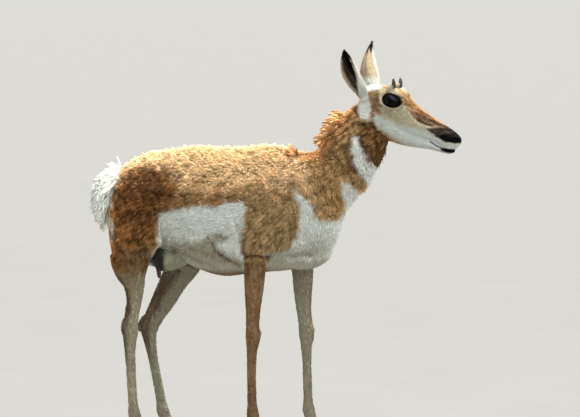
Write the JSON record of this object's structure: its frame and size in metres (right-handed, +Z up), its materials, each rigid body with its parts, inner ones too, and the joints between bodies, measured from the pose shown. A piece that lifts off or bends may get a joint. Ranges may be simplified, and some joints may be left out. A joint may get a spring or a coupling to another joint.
{
  "type": "pronghorn",
  "caption": "Still life-size model of a standing pronghorn doe with small horns, turned head and a tan and white coat.",
  "frame": {"origin": "on the floor below the middle of the model's box, between the four feet", "axes": "+X towards the nose, +Y to the animal's left, +Z up"},
  "size_m": [1.0619, 0.2631, 1.1604],
  "materials": {
    "coat": "short dense hair, tan above and white below",
    "pale_coat": "white and cream hair",
    "udder_skin": "dull dark skin",
    "black_horn": "satin horn and hoof",
    "wet_eye": "wet gloss"
  },
  "bodies": {
    "root": {"ear_left": "pale_coat", "ear_right": "pale_coat", "eye_left": "wet_eye", "eye_right": "wet_eye", "fore_left_cannon": "coat", "fore_left_forearm": "coat", "fore_left_knee": "coat", "fore_left_left_toe": "black_horn", "fore_left_pastern": "coat", "fore_left_right_toe": "black_horn", "fore_left_shoulder": "coat", "fore_right_cannon": "coat", "fore_right_forearm": "coat", "fore_right_knee": "coat", "fore_right_left_toe": "black_horn", "fore_right_pastern": "coat", "fore_right_right_toe": "black_horn", "fore_right_shoulder": "coat", "head": "coat", "hind_left_cannon": "coat", "hind_left_gaskin": "coat", "hind_left_hock": "coat", "hind_left_left_toe": "black_horn", "hind_left_pastern": "coat", "hind_left_right_toe": "black_horn", "hind_left_thigh": "coat", "hind_right_cannon": "coat", "hind_right_gaskin": "coat", "hind_right_hock": "coat", "hind_right_left_toe": "black_horn", "hind_right_pastern": "coat", "hind_right_right_toe": "black_horn", "hind_right_thigh": "coat", "horn_left": "black_horn", "horn_right": "black_horn", "neck": "coat", "tail": "pale_coat", "torso": "coat", "udder": "udder_skin"}
  },
  "joints": []
}
